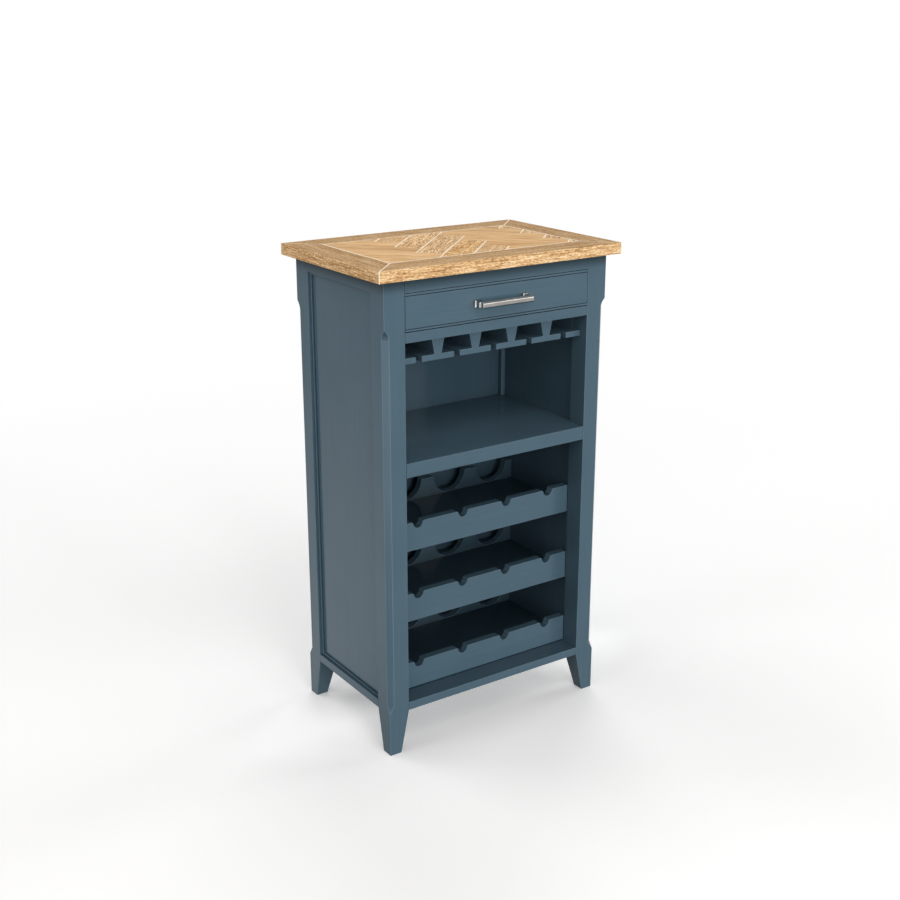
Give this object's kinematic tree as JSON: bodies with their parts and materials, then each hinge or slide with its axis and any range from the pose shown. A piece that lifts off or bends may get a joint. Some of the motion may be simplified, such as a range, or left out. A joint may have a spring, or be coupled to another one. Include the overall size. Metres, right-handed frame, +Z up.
{
  "type": "wine cabinet",
  "caption": "Free-standing wine cabinet with an oak top, a shallow drawer, a hanging rack for stemmed glasses, an open shelf and a scalloped rack for bottles.",
  "frame": {"origin": "on the floor, in the middle of the footprint of the four posts", "axes": "+Z up, the front faces -Y, +X to the right as seen from the front"},
  "size_m": [0.6, 0.403, 1.05],
  "materials": {
    "paint": "satin blue-grey paint on wood",
    "oak": "oiled oak, matt",
    "core_board": "raw board under the parquet",
    "bare_wood": "clear-lacquered pale hardwood inside the drawer case",
    "handle_metal": "satin nickel",
    "steel": "zinc-plated steel"
  },
  "bodies": {
    "cabinet": {"back_panel": "paint", "back_panel_screws": "steel", "back_top_rail": "paint", "bottle_board_bottom": "paint", "bottle_board_middle": "paint", "bottle_board_top": "paint", "bottom_board": "paint", "drawer_bead_lower": "paint", "drawer_bead_upper": "paint", "drawer_guide_left": "bare_wood", "drawer_guide_right": "bare_wood", "drawer_kicker_left": "bare_wood", "drawer_kicker_right": "bare_wood", "drawer_rail": "paint", "drawer_runner_left": "bare_wood", "drawer_runner_right": "bare_wood", "drawer_stops": "bare_wood", "front_top_rail": "paint", "glass_hanger_1": "paint", "glass_hanger_2": "paint", "glass_hanger_3": "paint", "glass_hanger_4": "paint", "glass_hanger_end_left": "paint", "glass_hanger_end_right": "paint", "hanger_board": "paint", "neck_board_bottom": "paint", "neck_board_middle": "paint", "neck_board_top": "paint", "post_back_left": "paint", "post_back_right": "paint", "post_front_left": "paint", "post_front_right": "paint", "rack_floor_bottom": "paint", "rack_floor_middle": "paint", "rack_floor_top": "paint", "shelf": "paint", "side_bead_left": "paint", "side_bead_right": "paint", "side_panel_left": "paint", "side_panel_right": "paint", "side_rail_left": "paint", "side_rail_right": "paint", "top_bracket_screws": "steel", "top_brackets": "steel", "top_core": "core_board", "top_frame_back": "oak", "top_frame_front": "oak", "top_frame_left": "oak", "top_frame_right": "oak", "top_parquet": "oak"},
    "drawer": {"drawer_front": "paint", "drawer_side_left": "bare_wood", "drawer_side_right": "bare_wood", "drawer_back": "bare_wood", "drawer_bottom": "bare_wood", "handle_bar": "handle_metal", "handle_foot_left": "handle_metal", "handle_foot_right": "handle_metal", "handle_screws": "steel"}
  },
  "joints": [
    {"name": "drawer_slide", "type": "slide", "parent": "cabinet", "child": "drawer", "axis": [0, -1, 0], "range_m": [0, 0.22]}
  ]
}
